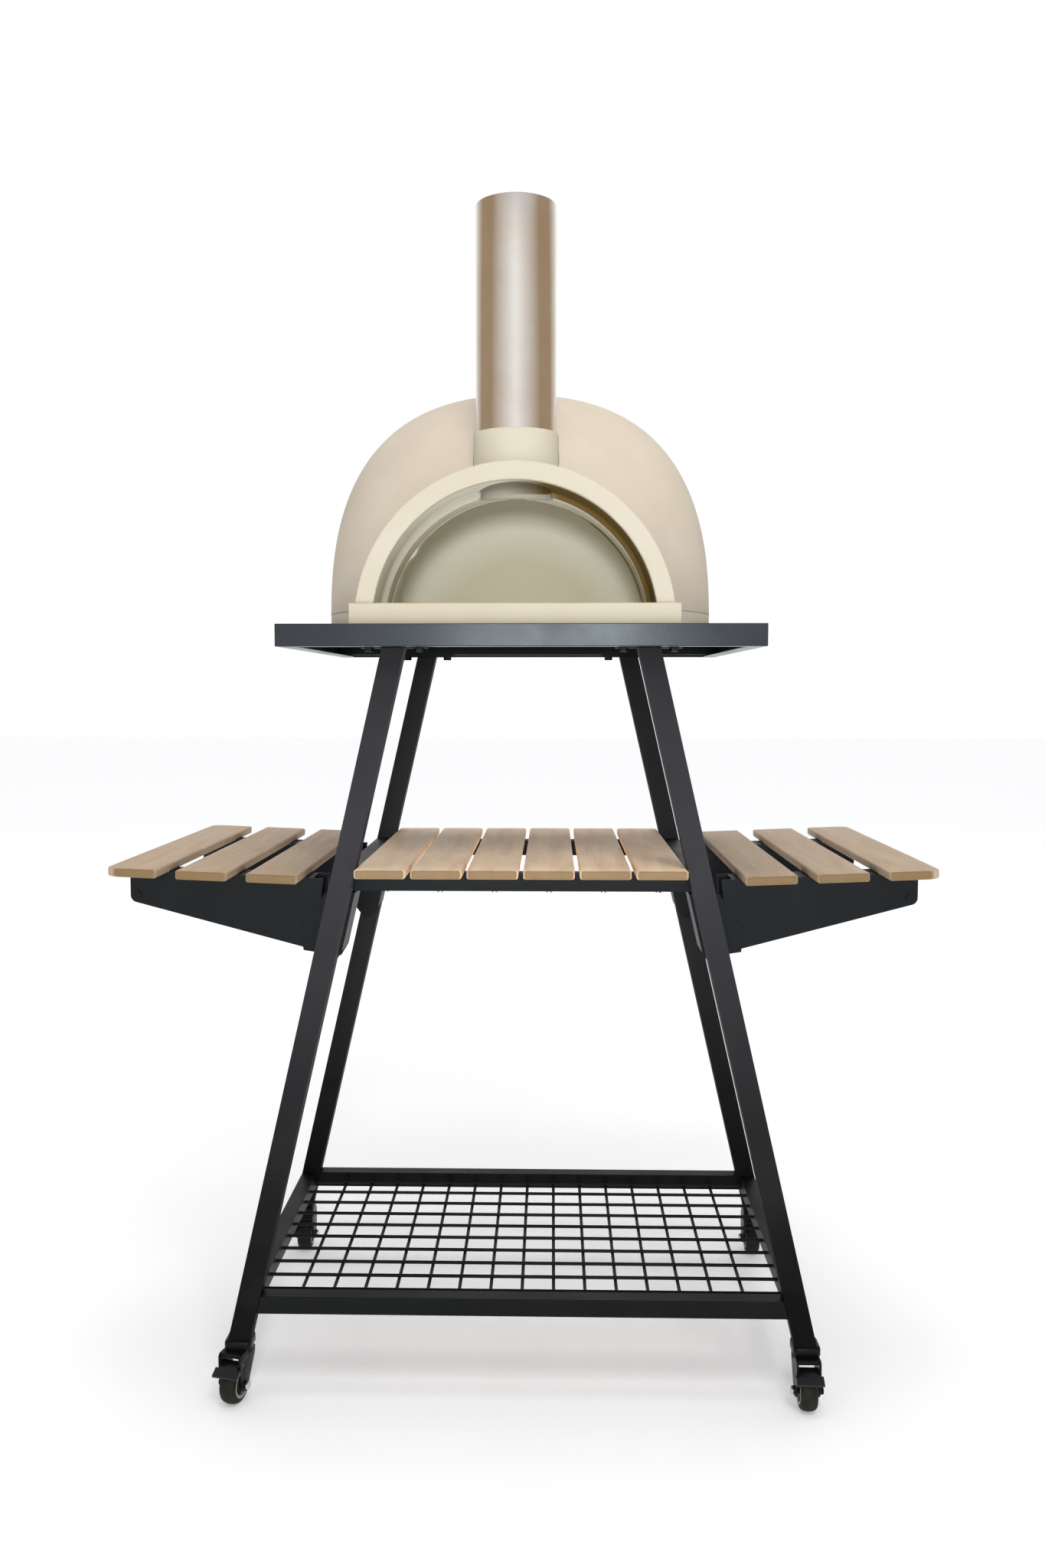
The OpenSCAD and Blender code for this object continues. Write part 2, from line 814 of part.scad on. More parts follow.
module fork(c) {
    inner = fork_in;
    top = fork_top - 0.3;
    color(black)
        caster_frame(c) {
            difference() {
                union() {
                    for (s = [-1, 1])
                        side_plate(s * (inner + fork_t / 2), fork_t)
                            fork_cheek();
                    translate([0, 0, top - fork_plate_t])
                        cylinder(r = inner + fork_t, h = fork_plate_t);
                    translate([0, -inner - fork_t / 2, top - fork_plate_t])
                        cube([caster_trail + 10, 2 * inner + fork_t, fork_plate_t]);
                }
                translate([0, 0, top - fork_plate_t - 1])
                    cylinder(r = stem_r + running, h = fork_plate_t + 2);
                cylinder_y(caster_trail, 0, wheel_r, axle_r, 80);
                cylinder_y(brake_pivot[0], 0, brake_pivot[1], brake_pin_r + running, 80);
            }
            cylinder_y(caster_trail, 0, wheel_r, axle_r, 2 * inner + 2 * fork_t);
            for (s = [-1, 1])
                cylinder_y(caster_trail, s * (inner + fork_t + 1.1), wheel_r, 6, 2.2);
        }
}

module wheel(c) {
    groove = 1.5;
    color(black)
        caster_frame(c)
            translate([caster_trail, 0, wheel_r])
                rotate([90, 0, 0])
                    rotate_extrude($fn = 64)
                        polygon([[axle_r + running, -wheel_w / 2], [12, -wheel_w / 2],
                            [13, -wheel_w / 2 + groove], [20, -wheel_w / 2 + groove],
                            [21, -wheel_w / 2], [wheel_r - 3, -wheel_w / 2], [wheel_r, -wheel_w / 2 + 4],
                            [wheel_r, wheel_w / 2 - 4], [wheel_r - 3, wheel_w / 2], [21, wheel_w / 2],
                            [20, wheel_w / 2 - groove], [13, wheel_w / 2 - groove],
                            [12, wheel_w / 2], [axle_r + running, wheel_w / 2]]);
}

module brake(c) {
    b = brake_pivot;
    w = 2 * fork_in - 1;
    color(black)
        caster_frame(c) {
            cylinder_y(b[0], 0, b[1], brake_pin_r, 2 * fork_in + 2 * fork_t);
            side_plate(0, w)
                polygon([[b[0] - 4, b[1] - 1], [b[0] + 2, b[1] - 4], [b[0] + 13, b[1] - 8],
                    [b[0] + 14, b[1] - 3], [b[0] + 3, b[1] + 3.4], [b[0] - 3, b[1] + 3.4]]);
            side_plate(0, toe_w)
                polygon([[b[0] + 11.5, b[1] - 7.4], [b[0] + 13, b[1] - 8], [b[0] + 21, b[1] - 12],
                    [b[0] + 22.5, b[1] - 11], [b[0] + 22.5, b[1] - 8.5], [b[0] + 14, b[1] - 3],
                    [b[0] + 11.5, b[1] - 1.6]]);
        }
}

base_slab();
hearth_insulation();
hearth_tiles();
inner_dome();
insulation_blanket();
outer_dome();
front_arch();
sill();
flue_seal();
flue_pipe();
deck_tray();
deck_frame();
deck_bolts();
leg(FL);  // leg_front_left
leg(FR);  // leg_front_right
leg(RL);  // leg_rear_left
leg(RR);  // leg_rear_right
side_rail(-1, mid_rail_x, mid_rail_z);  // mid_rail_left
side_rail(1, mid_rail_x, mid_rail_z);  // mid_rail_right
mid_cross_rail(-1);  // mid_rail_front
mid_cross_rail(1);  // mid_rail_rear
mid_slats();
mid_screws();
lower_cross_rail(-1);  // lower_rail_front
lower_cross_rail(1);  // lower_rail_rear
side_rail(-1, lower_rail_x, lower_rail_z);  // lower_rail_left
side_rail(1, lower_rail_x, lower_rail_z);  // lower_rail_right
shelf_grid();
channel(FL);  // channel_front_left
channel(FR);  // channel_front_right
channel(RL);  // channel_rear_left
channel(RR);  // channel_rear_right
hinge_pins();
latch_pins();
bracket_bolts();
arm(FL);  // arm_front_left
arm(FR);  // arm_front_right
arm(RL);  // arm_rear_left
arm(RR);  // arm_rear_right
wing_slats(-1);  // wing_slats_left
wing_slats(1);  // wing_slats_right
wing_screws(-1);  // wing_screws_left
wing_screws(1);  // wing_screws_right
latch(FL);  // latch_front_left
latch(FR);  // latch_front_right
latch(RL);  // latch_rear_left
latch(RR);  // latch_rear_right
caster_stems();
fork(FL);  // fork_front_left
fork(FR);  // fork_front_right
fork(RL);  // fork_rear_left
fork(RR);  // fork_rear_right
wheel(FL);  // wheel_front_left
wheel(FR);  // wheel_front_right
wheel(RL);  // wheel_rear_left
wheel(RR);  // wheel_rear_right
brake(FL);  // brake_front_left
brake(FR);  // brake_front_right
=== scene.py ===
import json
from math import atan2, cos, sin, pi, radians

import bpy
from mathutils import Matrix, Vector

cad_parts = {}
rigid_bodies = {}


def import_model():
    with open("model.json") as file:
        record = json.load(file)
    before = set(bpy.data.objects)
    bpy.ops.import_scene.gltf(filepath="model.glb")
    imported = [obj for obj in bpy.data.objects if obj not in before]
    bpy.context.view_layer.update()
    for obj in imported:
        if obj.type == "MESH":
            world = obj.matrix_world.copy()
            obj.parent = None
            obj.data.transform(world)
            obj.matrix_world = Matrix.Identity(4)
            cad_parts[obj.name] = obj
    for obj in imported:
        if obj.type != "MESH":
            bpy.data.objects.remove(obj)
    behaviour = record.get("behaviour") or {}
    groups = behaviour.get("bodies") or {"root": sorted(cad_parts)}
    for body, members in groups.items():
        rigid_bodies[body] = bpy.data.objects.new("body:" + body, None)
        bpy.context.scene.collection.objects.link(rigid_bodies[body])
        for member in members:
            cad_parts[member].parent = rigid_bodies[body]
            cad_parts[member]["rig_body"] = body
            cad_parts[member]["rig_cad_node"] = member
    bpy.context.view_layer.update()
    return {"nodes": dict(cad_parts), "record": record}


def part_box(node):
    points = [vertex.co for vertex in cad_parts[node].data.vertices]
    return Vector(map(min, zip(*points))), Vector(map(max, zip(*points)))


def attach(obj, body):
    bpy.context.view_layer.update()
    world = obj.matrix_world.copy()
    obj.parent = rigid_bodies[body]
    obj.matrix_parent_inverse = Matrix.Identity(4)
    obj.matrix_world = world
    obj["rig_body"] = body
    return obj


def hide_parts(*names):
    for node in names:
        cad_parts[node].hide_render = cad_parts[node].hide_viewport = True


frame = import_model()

corners = {"front_left": (-1, -1), "front_right": (1, -1), "rear_left": (-1, 1), "rear_right": (1, 1)}

cameraSetup = {"place": (0.0422, -2.0033, 0.9923), "tiltDown": 4.075, "turnLeft": 1.311,
               "lens": 29.93, "filmHeight": 36.0}
aim = (radians(90 - cameraSetup["tiltDown"]), 0, radians(cameraSetup["turnLeft"]))
bpy.ops.object.camera_add(location=cameraSetup["place"], rotation=aim)
camera = bpy.context.object
camera.data.sensor_fit = "VERTICAL"
camera.data.sensor_height = cameraSetup["filmHeight"]
camera.data.lens = cameraSetup["lens"]
bpy.context.scene.camera = camera
bpy.context.scene.view_settings.view_transform = "Standard"
print("camera placed")


def deselectAll():
    if bpy.context.object and bpy.context.object.mode != "OBJECT":
        bpy.ops.object.mode_set(mode="OBJECT")
    bpy.ops.object.select_all(action="DESELECT")


def focus(piece):
    deselectAll()
    piece.select_set(True)
    bpy.context.view_layer.objects.active = piece


def settle(piece):
    focus(piece)
    bpy.ops.object.transform_apply(location=True, rotation=True, scale=True)


def smooth(piece, angle=35):
    focus(piece)
    bpy.ops.object.shade_smooth_by_angle(angle=radians(angle))


def useModifier(piece, kind, **settings):
    focus(piece)
    modifier = piece.modifiers.new(kind.title(), kind)
    for name, value in settings.items():
        setattr(modifier, name, value)
    bpy.ops.object.modifier_apply(modifier=modifier.name)


def roundEdges(piece, width, segments=3, angle=40):
    useModifier(piece, "BEVEL", width=width, segments=segments, limit_method="ANGLE",
                angle_limit=radians(angle), miter_outer="MITER_ARC", harden_normals=False)


def cutWith(piece, tool):
    useModifier(piece, "BOOLEAN", operation="DIFFERENCE", object=tool, solver="EXACT")
    bpy.data.objects.remove(tool)


def named(piece, name):
    piece.name = name
    piece.data.name = name
    return piece


def addBlock(name, low, high):
    low, high = Vector(low), Vector(high)
    deselectAll()
    bpy.ops.mesh.primitive_cube_add(size=1, location=(low + high) / 2)
    piece = named(bpy.context.object, name)
    piece.scale = high - low
    settle(piece)
    return piece


def addRod(name, start, end, radius, sides=32):
    start, end = Vector(start), Vector(end)
    deselectAll()
    bpy.ops.mesh.primitive_cylinder_add(vertices=sides, radius=radius, depth=(end - start).length,
                                        location=(start + end) / 2)
    piece = named(bpy.context.object, name)
    piece.rotation_mode = "QUATERNION"
    piece.rotation_quaternion = (end - start).to_track_quat("Z", "Y")
    settle(piece)
    return piece


def pickEdges(piece, test):
    focus(piece)
    bpy.ops.object.mode_set(mode="EDIT")
    bpy.ops.mesh.select_mode(type="EDGE")
    bpy.ops.mesh.select_all(action="DESELECT")
    bpy.ops.object.mode_set(mode="OBJECT")
    points = piece.data.vertices
    for edge in piece.data.edges:
        edge.select = test(points[edge.vertices[0]].co, points[edge.vertices[1]].co)
    bpy.ops.object.mode_set(mode="EDIT")


def joined(name, pieces):
    deselectAll()
    for piece in pieces:
        piece.select_set(True)
    bpy.context.view_layer.objects.active = pieces[0]
    if len(pieces) > 1:
        bpy.ops.object.join()
    return named(pieces[0], name)


def copied(piece, matrix):
    twin = piece.copy()
    twin.data = piece.data.copy()
    bpy.context.scene.collection.objects.link(twin)
    twin.matrix_world = matrix
    settle(twin)
    if matrix.determinant() < 0:
        bpy.ops.object.mode_set(mode="EDIT")
        bpy.ops.mesh.select_all(action="SELECT")
        bpy.ops.mesh.flip_normals()
        bpy.ops.object.mode_set(mode="OBJECT")
    return twin


# A profile drawn point by point and spun about an axis
def lathe(name, profile, centre, axis, steps):
    deselectAll()
    bpy.ops.mesh.primitive_plane_add(size=0.001, location=(0, 0, 0))
    piece = named(bpy.context.object, name)
    bpy.ops.object.mode_set(mode="EDIT")
    bpy.ops.mesh.select_mode(type="VERT")
    bpy.ops.mesh.select_all(action="SELECT")
    bpy.ops.mesh.merge(type="CENTER")
    bpy.ops.transform.translate(value=profile[0])
    for before, after in zip(profile, profile[1:]):
        bpy.ops.mesh.extrude_region_move(TRANSFORM_OT_translate={"value": Vector(after) - Vector(before)})
    bpy.ops.mesh.select_all(action="SELECT")
    bpy.ops.mesh.spin(steps=steps, angle=2 * pi, center=centre, axis=axis, use_auto_merge=True)
    bpy.ops.mesh.select_all(action="SELECT")
    bpy.ops.mesh.remove_doubles(threshold=0.00005)
    bpy.ops.mesh.normals_make_consistent(inside=False)
    bpy.ops.object.mode_set(mode="OBJECT")
    return piece


# A welded copy of a CAD node, with flat faces rejoined, to be rounded and shown in its place
def castOf(node, name):
    deselectAll()
    source = frame["nodes"][node]
    piece = source.copy()
    piece.data = source.data.copy()
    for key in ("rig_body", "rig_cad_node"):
        if key in piece:
            del piece[key]
    piece.parent = None
    bpy.context.scene.collection.objects.link(piece)
    named(piece, name)
    focus(piece)
    bpy.ops.object.mode_set(mode="EDIT")
    bpy.ops.mesh.select_all(action="SELECT")
    bpy.ops.mesh.remove_doubles(threshold=0.00002)
    bpy.ops.mesh.dissolve_limited(angle_limit=radians(0.5))
    bpy.ops.object.mode_set(mode="OBJECT")
    return piece


def dress(piece, material):
    piece.data.materials.clear()
    piece.data.materials.append(material)


def show(piece, body, material, slot, *nodes):
    dress(piece, material)
    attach(piece, body)
    if nodes:
        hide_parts(*nodes)


class Wire:
    def __init__(self, recipe, socket):
        self.recipe, self.socket = recipe, socket

    def maths(self, operation, first, second):
        return self.recipe.add("ShaderNodeMath", {"operation": operation}, {0: first, 1: second})

    def __add__(self, other): return self.maths("ADD", self, other)
    def __radd__(self, other): return self.maths("ADD", other, self)
    def __sub__(self, other): return self.maths("SUBTRACT", self, other)
    def __rsub__(self, other): return self.maths("SUBTRACT", other, self)
    def __mul__(self, other): return self.maths("MULTIPLY", self, other)
    def __rmul__(self, other): return self.maths("MULTIPLY", other, self)
    def __truediv__(self, other): return self.maths("DIVIDE", self, other)
    def __pow__(self, other): return self.maths("POWER", self, other)


class Recipe:
    def __init__(self, name, library=bpy.data.materials):
        self.material = library.new(name)
        self.material.use_nodes = True
        self.tree = self.material.node_tree
        self.tree.nodes.clear()
        self.place = Wire(self, self.tree.nodes.new("ShaderNodeTexCoord").outputs["Object"])

    def add(self, kind, settings=None, inputs=None, output=0):
        made = self.tree.nodes.new(kind)
        for name, value in (settings or {}).items():
            setattr(made, name, value)
        for name, value in (inputs or {}).items():
            if isinstance(value, Wire):
                self.tree.links.new(value.socket, made.inputs[name])
            else:
                made.inputs[name].default_value = value
        return Wire(self, made.outputs[output])

    def stretched(self, scale):
        return self.add("ShaderNodeMapping", None, {"Vector": self.place, "Scale": scale})

    def noise(self, scale, detail=3.0, roughness=0.5, vector=None, distortion=0.0):
        return self.add("ShaderNodeTexNoise", None,
                        {"Vector": vector or self.place, "Scale": scale, "Detail": detail,
                         "Roughness": roughness, "Distortion": distortion})

    def spread(self, value, low, high, to=(0.0, 1.0)):
        return self.add("ShaderNodeMapRange", {"clamp": True},
                        {"Value": value, "From Min": low, "From Max": high, "To Min": to[0], "To Max": to[1]})

    def tint(self, factor, first, second, way="MIX"):
        settings = {"data_type": "RGBA", "blend_type": way, "clamp_factor": True}
        full = lambda colour: colour if isinstance(colour, Wire) else (*colour, 1)
        return self.add("ShaderNodeMix", settings, {0: factor, 6: full(first), 7: full(second)}, 2)

    def axis(self, name):
        return self.add("ShaderNodeSeparateXYZ", None, {"Vector": self.place}, name)

    def relief(self, height, strength, distance, under=None):
        inputs = {"Height": height, "Strength": strength, "Distance": distance}
        if under:
            inputs["Normal"] = under
        return self.add("ShaderNodeBump", None, inputs)

    def finish(self, inputs, shader="ShaderNodeBsdfPrincipled", output="ShaderNodeOutputMaterial"):
        result = self.add(shader, None, inputs)
        end = self.tree.nodes.new(output)
        self.tree.links.new(result.socket, end.inputs["Surface"])
        return self.material


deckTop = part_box("deck_tray")[1].z
renderLook = {"cream": (0.535, 0.465, 0.365), "rose": (0.475, 0.40, 0.325), "pale": (0.575, 0.53, 0.445)}


def makeRender():
    r = Recipe("creamRender")
    clouds = r.noise(3.2, 4.0, 0.55)
    blotches = r.noise(11.0, 5.0, 0.6)
    sand = r.noise(420.0, 2.0, 0.6)
    trowel = r.noise(26.0, 3.0, 0.5, r.stretched((1.0, 1.0, 2.2)))
    base = r.tint(r.spread(clouds, 0.38, 0.66), renderLook["cream"], renderLook["rose"])
    base = r.tint(r.spread(blotches, 0.45, 0.75) * 0.45, base, renderLook["pale"])
    base = r.tint(r.spread(sand, 0.55, 0.85) * 0.10, base, (0.50, 0.44, 0.37))
    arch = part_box("front_arch")
    across = r.axis("X") - (arch[0].x + arch[1].x) / 2
    rise = r.axis("Z") - deckTop
    joint = r.spread((across * across + rise * rise) ** 0.5, 0.2190, 0.2158)
    joint = joint * r.spread(r.axis("Y"), -0.05, -0.07)
    base = r.tint(joint * r.spread(blotches, 0.35, 0.65, (0.35, 0.75)), base, (0.36, 0.27, 0.15))
    bump = r.relief(trowel, 0.25, 0.0012)
    bump = r.relief(sand, 0.16, 0.0004, bump)
    return r.finish({"Base Color": base, "Roughness": r.spread(blotches, 0.3, 0.7, (0.62, 0.78)), "Normal": bump,
                     "Specular IOR Level": 0.35})


castLook = {"cream": (0.50, 0.45, 0.345), "straw": (0.52, 0.455, 0.32), "pale": (0.525, 0.485, 0.395),
            "throatOlive": (0.60, 0.56, 0.45), "ceilingPaintedLight": (0.85, 0.83, 0.71), "shade": (0.45, 0.435, 0.35),
            "paintedShadeStep": (0.44, 0.42, 0.34), "paintedShadeBrown": (0.13, 0.08, 0.015), "edge": (0.40, 0.30, 0.15)}


def makeCast():
    r = Recipe("castRefractory")
    clouds = r.noise(6.0, 4.0, 0.6)
    blots = r.noise(22.0, 3.0, 0.6)
    grain = r.noise(300.0, 3.0, 0.6)
    pores = r.add("ShaderNodeTexVoronoi", {"feature": "F1"}, {"Vector": r.place, "Scale": 160.0}, "Distance")
    pits = r.spread(pores, 0.05, 0.16, (1.0, 0.0)) * r.spread(r.noise(40.0, 2.0), 0.55, 0.62)
    base = r.tint(r.spread(clouds, 0.40, 0.68), castLook["cream"], castLook["pale"])
    height = r.axis("Z")
    low = r.spread(height, deckTop, deckTop + 0.04, (1.0, 0.0))
    base = r.tint(low * 0.30, base, castLook["straw"])
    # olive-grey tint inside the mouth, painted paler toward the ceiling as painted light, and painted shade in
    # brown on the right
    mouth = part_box("front_arch")
    middle = (mouth[0].x + mouth[1].x) / 2
    across = r.axis("X") - middle
    rise = height - deckTop
    radius = (across * across + rise * rise) ** 0.5
    throat = r.spread(radius, 0.2040, 0.2000)
    behind = r.axis("Y") - (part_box("flue_pipe")[0].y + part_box("flue_pipe")[1].y) / 2
    flueWall = r.spread((across * across + behind * behind) ** 0.5, 0.0525, 0.0505)
    inside = r.add("ShaderNodeMath", {"operation": "MAXIMUM"}, {0: throat, 1: flueWall})
    inside = inside * r.spread(r.axis("Y"), mouth[0].y + 0.004, mouth[0].y + 0.010)
    # painted light: the throat's ceiling gets the paler tone, to lift the shade that falls there
    base = r.tint(inside, base, r.tint(r.spread(rise, 0.08, 0.17), castLook["throatOlive"], castLook["ceilingPaintedLight"]))
    # painted shade: the step face, lit strongly from the front, is darkened, and browner on its right
    paintedShadeStep = r.spread(radius, 0.1822, 0.1832) * r.spread(radius, 0.1905, 0.1890)
    paintedShadeStep = paintedShadeStep * r.spread(behind, -0.0045, -0.0025) * r.spread(behind, 0.006, 0.003)
    # painted shade: the lit wall of the flue hole is darkened to the ceiling's grey
    base = r.tint(flueWall, base, castLook["shade"])
    base = r.tint(paintedShadeStep, base, castLook["paintedShadeStep"])
    base = r.tint(paintedShadeStep * r.spread(across, 0.00, 0.06), base, castLook["paintedShadeBrown"])
    # painted shade: the right jamb wall, which lies in shadow, in brown
    rightJambShade = inside * r.spread(radius, 0.1880, 0.1892) * r.spread(across, -0.02, 0.04)
    base = r.tint(rightJambShade, base, castLook["paintedShadeBrown"])
    # brown lines along the sill's upper and lower edges
    fromMiddle = r.add("ShaderNodeMath", {"operation": "ABSOLUTE"}, {0: rise - 0.014, 1: 0.0})
    front = r.spread(r.axis("Y"), mouth[0].y - 0.001, mouth[0].y - 0.003)
    sillEdgeLines = front * r.spread(fromMiddle, 0.0115, 0.0138) * r.spread(blots, 0.35, 0.6, (0.25, 0.7))
    base = r.tint(sillEdgeLines, base, castLook["edge"])
    base = r.tint(pits * 0.5, base, (0.42, 0.35, 0.24))
    bump = r.relief(grain, 0.12, 0.0004)
    bump = r.relief(1.0 - pits, 0.35, 0.0006, bump)
    return r.finish({"Base Color": base, "Roughness": r.spread(clouds, 0.3, 0.7, (0.66, 0.80)), "Normal": bump,
                     "Specular IOR Level": 0.3})


insideLook = {"olive": (0.80, 0.775, 0.625), "grey": (0.84, 0.83, 0.70), "low": (0.70, 0.62, 0.39),
              "pale": (0.92, 0.90, 0.77), "paintedShadeBrown": (0.30, 0.22, 0.07)}


def makeInside():
    r = Recipe("ovenLining")
    clouds = r.noise(7.0, 4.0, 0.6)
    grain = r.noise(260.0, 3.0, 0.6)
    base = r.tint(r.spread(clouds, 0.35, 0.70), insideLook["olive"], insideLook["grey"])
    base = r.tint(r.spread(r.axis("Z"), deckTop + 0.02, deckTop + 0.26, (0.45, 0.0)), base, insideLook["low"])
    low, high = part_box("front_arch")
    across = r.axis("X") - (low.x + high.x) / 2
    rise = r.axis("Z") - deckTop
    radius = (across * across + rise * rise) ** 0.5
    # painted light: the lining is paler away from the mouth's axis, where its ceiling and sides lie in shade
    base = r.tint(r.spread(radius, 0.125, 0.175), base, insideLook["pale"])
    # painted shade: brown on the right side of the neck, where the shadow falls
    rightNeckShade = r.spread(r.axis("Y"), -0.10, -0.12) * r.spread(across, 0.05, 0.11)
    base = r.tint(rightNeckShade, base, insideLook["paintedShadeBrown"])
    bump = r.relief(grain, 0.2, 0.0006)
    return r.finish({"Base Color": base, "Roughness": 0.85, "Normal": bump, "Specular IOR Level": 0.2})


def makeTiles():
    r = Recipe("hearthTile")
    clouds = r.noise(14.0, 4.0, 0.6)
    specks = r.noise(160.0, 2.0, 0.5)
    base = r.tint(r.spread(clouds, 0.35, 0.70), (0.52, 0.46, 0.33), (0.60, 0.55, 0.43))
    base = r.tint(r.spread(specks, 0.60, 0.72) * 0.4, base, (0.36, 0.28, 0.18))
    return r.finish({"Base Color": base, "Roughness": 0.82, "Normal": r.relief(specks, 0.25, 0.0005)})


def makeFibre():
    r = Recipe("ceramicFibre")
    threads = r.noise(90.0, 5.0, 0.7, r.stretched((1.0, 1.0, 4.0)))
    base = r.tint(threads, (0.86, 0.86, 0.82), (0.94, 0.94, 0.91))
    return r.finish({"Base Color": base, "Roughness": 0.95, "Normal": r.relief(threads, 0.5, 0.001)})


steelLook = {"silver": (0.80, 0.775, 0.74), "warm": (0.74, 0.66, 0.58)}


def makeStainless():
    r = Recipe("polishedStainless")
    streaks = r.noise(60.0, 3.0, 0.5, r.stretched((9.0, 9.0, 0.25)))
    smudges = r.noise(9.0, 4.0, 0.6)
    base = r.tint(r.spread(smudges, 0.42, 0.72), steelLook["silver"], steelLook["warm"])
    rough = r.spread(streaks, 0.3, 0.7, (0.03, 0.06)) + r.spread(smudges, 0.5, 0.8) * 0.03
    return r.finish({"Base Color": base, "Metallic": 1.0, "Roughness": rough,
                     "Normal": r.relief(streaks, 0.05, 0.0002)})


def makeCoat(name, top, foot, gloss, shine, mottle=0.10, head=1.0):
    r = Recipe(name)
    peel = r.noise(520.0, 2.0, 0.5)
    clouds = r.noise(9.0, 3.0, 0.5)
    height = r.axis("Z")
    # colour runs from foot to top with height, and to head times top near the deck: on the legs this is painted
    # shade, darker toward the floor and under the deck
    base = r.tint(r.spread(height, 0.20, 0.75), foot, top)
    base = r.tint(r.spread(height, 0.80, 1.05), base, tuple(head * c for c in top))
    base = r.tint(r.spread(clouds, 0.4, 0.75) * mottle, base, tuple(min(1, c * 1.7 + 0.01) for c in top))
    return r.finish({"Base Color": base, "Roughness": r.spread(clouds, 0.3, 0.7, (gloss, gloss + 0.10)),
                     "Normal": r.relief(peel, 0.12, 0.0003), "Specular IOR Level": shine,
                     "Specular Tint": (0.82, 0.94, 1.0, 1)})


woodLook = {"light": (0.68, 0.50, 0.33), "brown": (0.50, 0.335, 0.20), "grey": (0.60, 0.49, 0.37),
            "end": (0.155, 0.092, 0.030), "fleck": (0.32, 0.20, 0.11)}


# Planks run along Y: the grain is long in Y, and every plank gets its own shift of pattern and shade
def makeTimber(name, frontEnd, rearEnd, plankPitch, tone):
    r = Recipe(name)
    look = {key: tuple(tone * c for c in colour) for key, colour in woodLook.items()}
    across = r.axis("X")
    along = r.axis("Y")
    plank = r.add("ShaderNodeMath", {"operation": "FLOOR"}, {0: (across + 3.0) / plankPitch, 1: 0.0})
    random = r.add("ShaderNodeTexWhiteNoise", {"noise_dimensions": "1D"}, {"W": plank})
    shift = r.add("ShaderNodeCombineXYZ", None, {"X": random * 7.0, "Y": random * 13.0, "Z": random * 3.0})
    where = r.add("ShaderNodeVectorMath", {"operation": "ADD"}, {0: r.place, 1: shift})
    long = lambda scale: r.add("ShaderNodeMapping", None, {"Vector": where, "Scale": scale})
    rings = r.noise(8.0, 4.0, 0.55, long((5.0, 0.55, 5.0)), 0.8)
    fibres = r.noise(60.0, 4.0, 0.65, long((9.0, 0.35, 9.0)))
    flecks = r.noise(150.0, 2.0, 0.5, long((6.0, 0.9, 6.0)))
    base = r.tint(r.spread(rings, 0.36, 0.66), look["brown"], look["light"])
    base = r.tint(r.spread(fibres, 0.40, 0.68) * 0.55, base, look["light"])
    base = r.tint(r.spread(flecks, 0.56, 0.68) * 0.6, base, look["fleck"])
    base = r.tint(r.spread(random, 0.0, 1.0, (0.10, 0.50)), base, look["grey"])
    end = r.spread(along, frontEnd + 0.003, frontEnd + 0.0005)
    end = end + r.spread(along, rearEnd - 0.003, rearEnd - 0.0005)
    base = r.tint(end * 0.9, base, woodLook["end"])
    bump = r.relief(fibres, 0.25, 0.0005)
    return r.finish({"Base Color": base, "Roughness": r.spread(fibres, 0.3, 0.7, (0.50, 0.66)), "Normal": bump,
                     "Specular IOR Level": 0.35})


def makeZinc():
    r = Recipe("zincPlate")
    spangle = r.add("ShaderNodeTexVoronoi", {"feature": "F1"}, {"Vector": r.place, "Scale": 240.0}, "Color")
    clouds = r.noise(60.0, 3.0, 0.5)
    base = r.tint(spangle, (0.50, 0.51, 0.53), (0.66, 0.66, 0.66))
    return r.finish({"Base Color": base, "Metallic": 1.0, "Roughness": r.spread(clouds, 0.3, 0.7, (0.26, 0.42)),
                     "Normal": r.relief(clouds, 0.1, 0.0003)})


def makeRubber():
    r = Recipe("wheelRubber")
    dust = r.noise(70.0, 4.0, 0.6)
    base = r.tint(r.spread(dust, 0.50, 0.75), (0.010, 0.0095, 0.006), (0.030, 0.027, 0.015))
    return r.finish({"Base Color": base, "Roughness": r.spread(dust, 0.3, 0.7, (0.50, 0.75)),
                     "Normal": r.relief(dust, 0.2, 0.0006), "Specular IOR Level": 0.15})


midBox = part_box("mid_slats")
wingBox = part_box("wing_slats_right")
renderMaterial = makeRender()
castMaterial = makeCast()
insideMaterial = makeInside()
tileMaterial = makeTiles()
fibreMaterial = makeFibre()
stainless = makeStainless()
deckCoat = makeCoat("charcoalCoat", (0.022, 0.024, 0.029), (0.022, 0.024, 0.029), 0.20, 0.15, 0.05)
# painted shade: the legs darken toward the floor and under the deck
legCoatPaintedShade = makeCoat("legCoatPaintedShade", (0.036, 0.035, 0.039), (0.006, 0.006, 0.0055), 0.42, 0.01, 0.10, 0.60)
blackCoat = makeCoat("blackCoat", (0.007, 0.0075, 0.0085), (0.004, 0.004, 0.004), 0.40, 0.11)
casterBlack = makeCoat("casterPlastic", (0.004, 0.004, 0.0035), (0.004, 0.004, 0.0035), 0.30, 0.12)
# painted light and shade: the middle shelf's timber colours are scaled by 1.66 to lift the deck's shadow on it,
# the wings' by 0.72 to dim the light on them
midTimberPaintedLight = makeTimber("middleTeakPaintedLight", midBox[0].y, midBox[1].y, 0.076, 1.66)
wingTimberPaintedShade = makeTimber("wingTeakPaintedShade", wingBox[0].y, wingBox[1].y, 0.095, 0.72)
zinc = makeZinc()
rubber = makeRubber()
rimGrey = makeCoat("rimGrey", (0.23, 0.225, 0.21), (0.23, 0.225, 0.21), 0.35, 0.5)
pedalBlack = makeCoat("pedalBlack", (0.004, 0.004, 0.004), (0.004, 0.004, 0.004), 0.20, 0.45)

